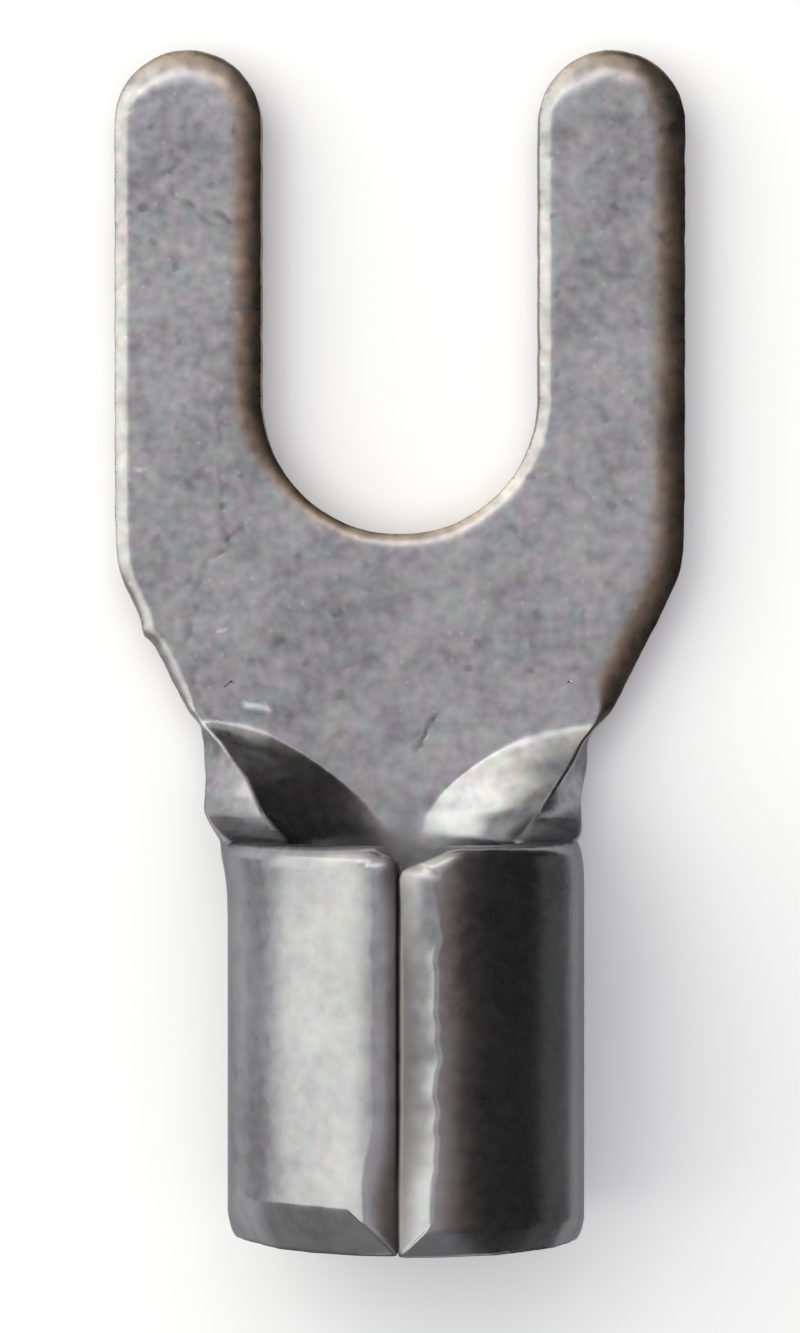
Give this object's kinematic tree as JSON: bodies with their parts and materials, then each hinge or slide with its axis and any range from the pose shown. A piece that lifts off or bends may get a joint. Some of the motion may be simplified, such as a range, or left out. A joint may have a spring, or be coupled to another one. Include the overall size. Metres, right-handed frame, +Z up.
{
  "type": "fork terminal",
  "caption": "Bare fork terminal stamped from sheet: round-ended prongs that slide under a screw head, tapered shoulders and a rolled, seamed barrel for crimping onto a wire.",
  "frame": {"origin": "the stud's centre in the slot, on the underside of the tongue", "axes": "+Y out of the fork between the prongs, +Z up from the tongue's underside, +X across the prongs"},
  "size_m": [0.0088, 0.0182, 0.0054],
  "materials": {
    "tin_plate": "dull tin plate on copper, with a fine mottled grain, scratches and slightly worn edges"
  },
  "bodies": {
    "root": {"fork_terminal": "tin_plate"}
  },
  "joints": []
}
